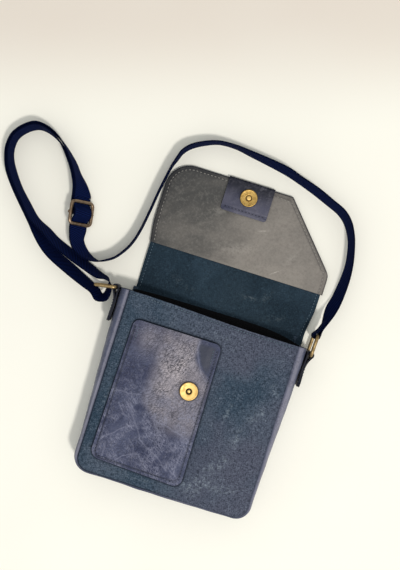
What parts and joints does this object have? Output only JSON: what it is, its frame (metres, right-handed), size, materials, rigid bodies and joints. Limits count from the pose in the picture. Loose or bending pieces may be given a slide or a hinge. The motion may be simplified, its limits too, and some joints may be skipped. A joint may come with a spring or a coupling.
{
  "type": "messenger_bag",
  "caption": "Small crossbody messenger bag in blue waxed canvas and leather, lying on its back with the flap laid open, webbing strap loose around it, magnetic snap closure",
  "frame": {"origin": "centre of the back panel's outer face, on the surface the bag lies on", "axes": "+X to the bag's right seen from the front, +Y from the bag's bottom towards the opened flap, +Z out of the front panel, up from the surface"},
  "size_m": [0.3719, 0.3579, 0.0408],
  "materials": {
    "blue_canvas": "waxed cotton canvas, scuffed pale at creases",
    "navy_canvas": "waxed cotton canvas, dark",
    "blue_leather": "oiled full-grain leather, creased, flesh side grey",
    "black_cloth": "plain woven lining",
    "antique_brass": "antique brass plate, satin",
    "plain_steel": "plain steel, not seen from outside",
    "navy_webbing": "woven cotton webbing"
  },
  "bodies": {
    "bag": {"front_panel": "blue_canvas", "back_panel": "blue_canvas", "gusset": "blue_leather", "lining_front": "black_cloth", "lining_back": "black_cloth", "lining_gusset": "black_cloth", "front_pocket": "blue_leather", "pocket_snap_cap": "antique_brass", "pocket_snap_magnet": "plain_steel", "pocket_snap_washer": "plain_steel", "left_ring_tab": "blue_leather", "right_ring_tab": "blue_leather", "strap_single": "navy_webbing", "strap_outer": "navy_webbing", "strap_inner": "navy_webbing"},
    "flap_top": {"flap_strip": "navy_canvas"},
    "flap_front": {"flap_canvas_edge": "navy_canvas", "flap_leather": "blue_leather", "flap_tab": "blue_leather", "flap_snap_cap": "antique_brass", "flap_snap_stud": "antique_brass", "flap_snap_washer": "plain_steel"},
    "left_ring": {"left_ring": "antique_brass"},
    "right_ring": {"right_ring": "antique_brass"},
    "slider": {"slider_frame": "antique_brass", "slider_bar": "antique_brass"}
  },
  "joints": [
    {"name": "flap_base", "type": "hinge", "parent": "bag", "child": "flap_top", "pos_m": [0, 0.0943, 0.0013], "axis": [1, 0, 0], "range_deg": [0, 95.8]},
    {"name": "flap_fold", "type": "hinge", "parent": "flap_top", "child": "flap_front", "pos_m": [0, 0.13627, 0.0029], "axis": [1, 0, 0], "range_deg": [0, 80.5]},
    {"name": "left_ring_swing", "type": "hinge", "parent": "bag", "child": "left_ring", "pos_m": [-0.1026, 0.0865, 0.0175], "axis": [0, 0, 1], "range_deg": [-70, 45], "deforming": ["strap_outer", "strap_inner"]},
    {"name": "right_ring_swing", "type": "hinge", "parent": "bag", "child": "right_ring", "pos_m": [0.1026, 0.0801, 0.0175], "axis": [0, 0, 1], "range_deg": [-80, 15], "deforming": ["strap_single"]},
    {"name": "slider_slide", "type": "slide", "parent": "bag", "child": "slider", "axis": [-0.165, 0.9863, 0], "range_m": [-0.008, 0.008], "deforming": ["strap_single", "strap_outer", "strap_inner"]}
  ]
}
